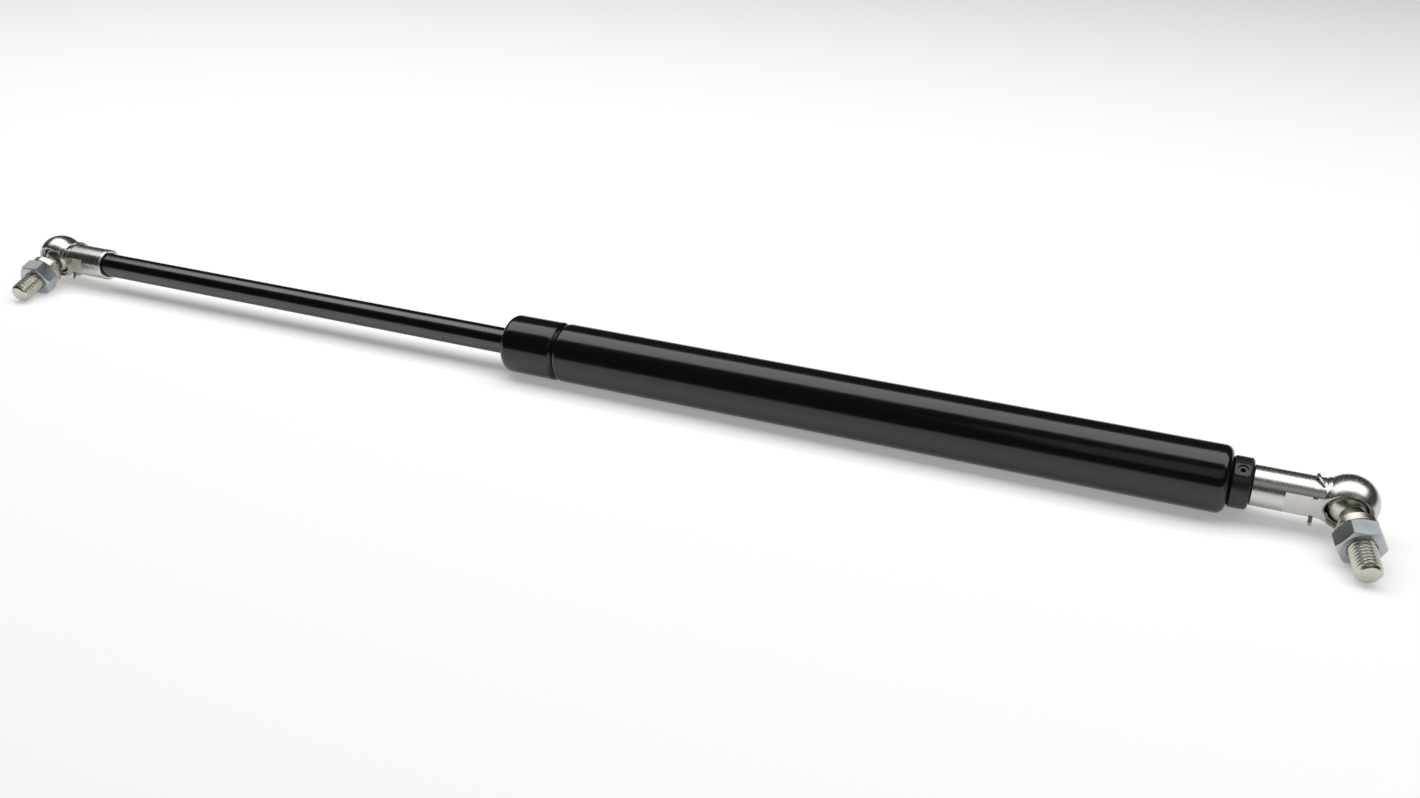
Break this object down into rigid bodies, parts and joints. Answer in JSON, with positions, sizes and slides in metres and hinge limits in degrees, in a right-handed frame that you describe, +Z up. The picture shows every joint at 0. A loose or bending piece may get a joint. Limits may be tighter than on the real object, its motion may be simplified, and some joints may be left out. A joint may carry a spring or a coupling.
{
  "type": "gas strut stay",
  "caption": "Gas strut stay, fully extended, with a ball socket, threaded ball stud and nut at each end.",
  "frame": {"origin": "bottom centre of the bounding box, on the floor that the extended strut lies on", "axes": "+X along the strut from the rod end to the tube end, +Z up, ball studs towards -Y"},
  "size_m": [0.546, 0.0404, 0.022],
  "materials": {
    "tube_paint": "smooth gloss black paint on steel",
    "rod_steel": "ground and dark nitrided steel, polished",
    "socket_steel": "turned steel, bright zinc plate",
    "stud_zinc": "steel, pale yellowish zinc plate",
    "nut_zinc": "steel, bluish zinc plate",
    "spring_steel": "drawn spring wire",
    "zinc_steel": "plated steel",
    "guide_metal": "turned, plain",
    "piston_metal": "turned, plain",
    "dark_steel": "blackened steel",
    "ring_plastic": "slippery PTFE",
    "rubber": "black nitrile rubber"
  },
  "bodies": {
    "tube": {"cylinder_tube": "tube_paint", "valve_collar": "tube_paint", "dust_wiper": "rubber", "rod_guide_bush": "guide_metal", "rod_seal": "rubber", "seal_support_washer": "zinc_steel", "end_plug": "guide_metal", "plug_o_ring": "rubber", "bleed_screw": "dark_steel", "tube_end_socket": "socket_steel", "tube_end_safety_clip": "spring_steel", "tube_end_snap_ring": "spring_steel"},
    "sliding_ring": {"piston_ring": "ring_plastic"},
    "rod": {"piston_rod": "rod_steel", "front_piston_washer": "zinc_steel", "piston": "piston_metal", "back_piston_washer": "zinc_steel", "rod_end_socket": "socket_steel", "rod_end_safety_clip": "spring_steel", "rod_end_snap_ring": "spring_steel"},
    "rod_stud": {"rod_end_ball_stud": "stud_zinc", "rod_end_nut": "nut_zinc"},
    "tube_stud": {"tube_end_ball_stud": "stud_zinc", "tube_end_nut": "nut_zinc"}
  },
  "joints": [
    {"name": "rod_slide", "type": "slide", "parent": "tube", "child": "sliding_ring", "axis": [1, 0, 0], "range_m": [0, 0.2], "stiffness_N_per_m": 5, "springref_m": -0.2},
    {"name": "rod_turn", "type": "hinge", "parent": "sliding_ring", "child": "rod", "pos_m": [-0.0074, 0.00915, 0.011], "axis": [1, 0, 0], "continuous": true},
    {"name": "rod_stud_swivel", "type": "hinge", "parent": "rod", "child": "rod_stud", "pos_m": [-0.264, 0.00915, 0.011], "axis": [0.1045, -0.965, -0.2406], "continuous": true},
    {"name": "tube_stud_swivel", "type": "hinge", "parent": "tube", "child": "tube_stud", "pos_m": [0.2612, 0.00915, 0.011], "axis": [0.2419, -0.9415, -0.2347], "continuous": true}
  ]
}
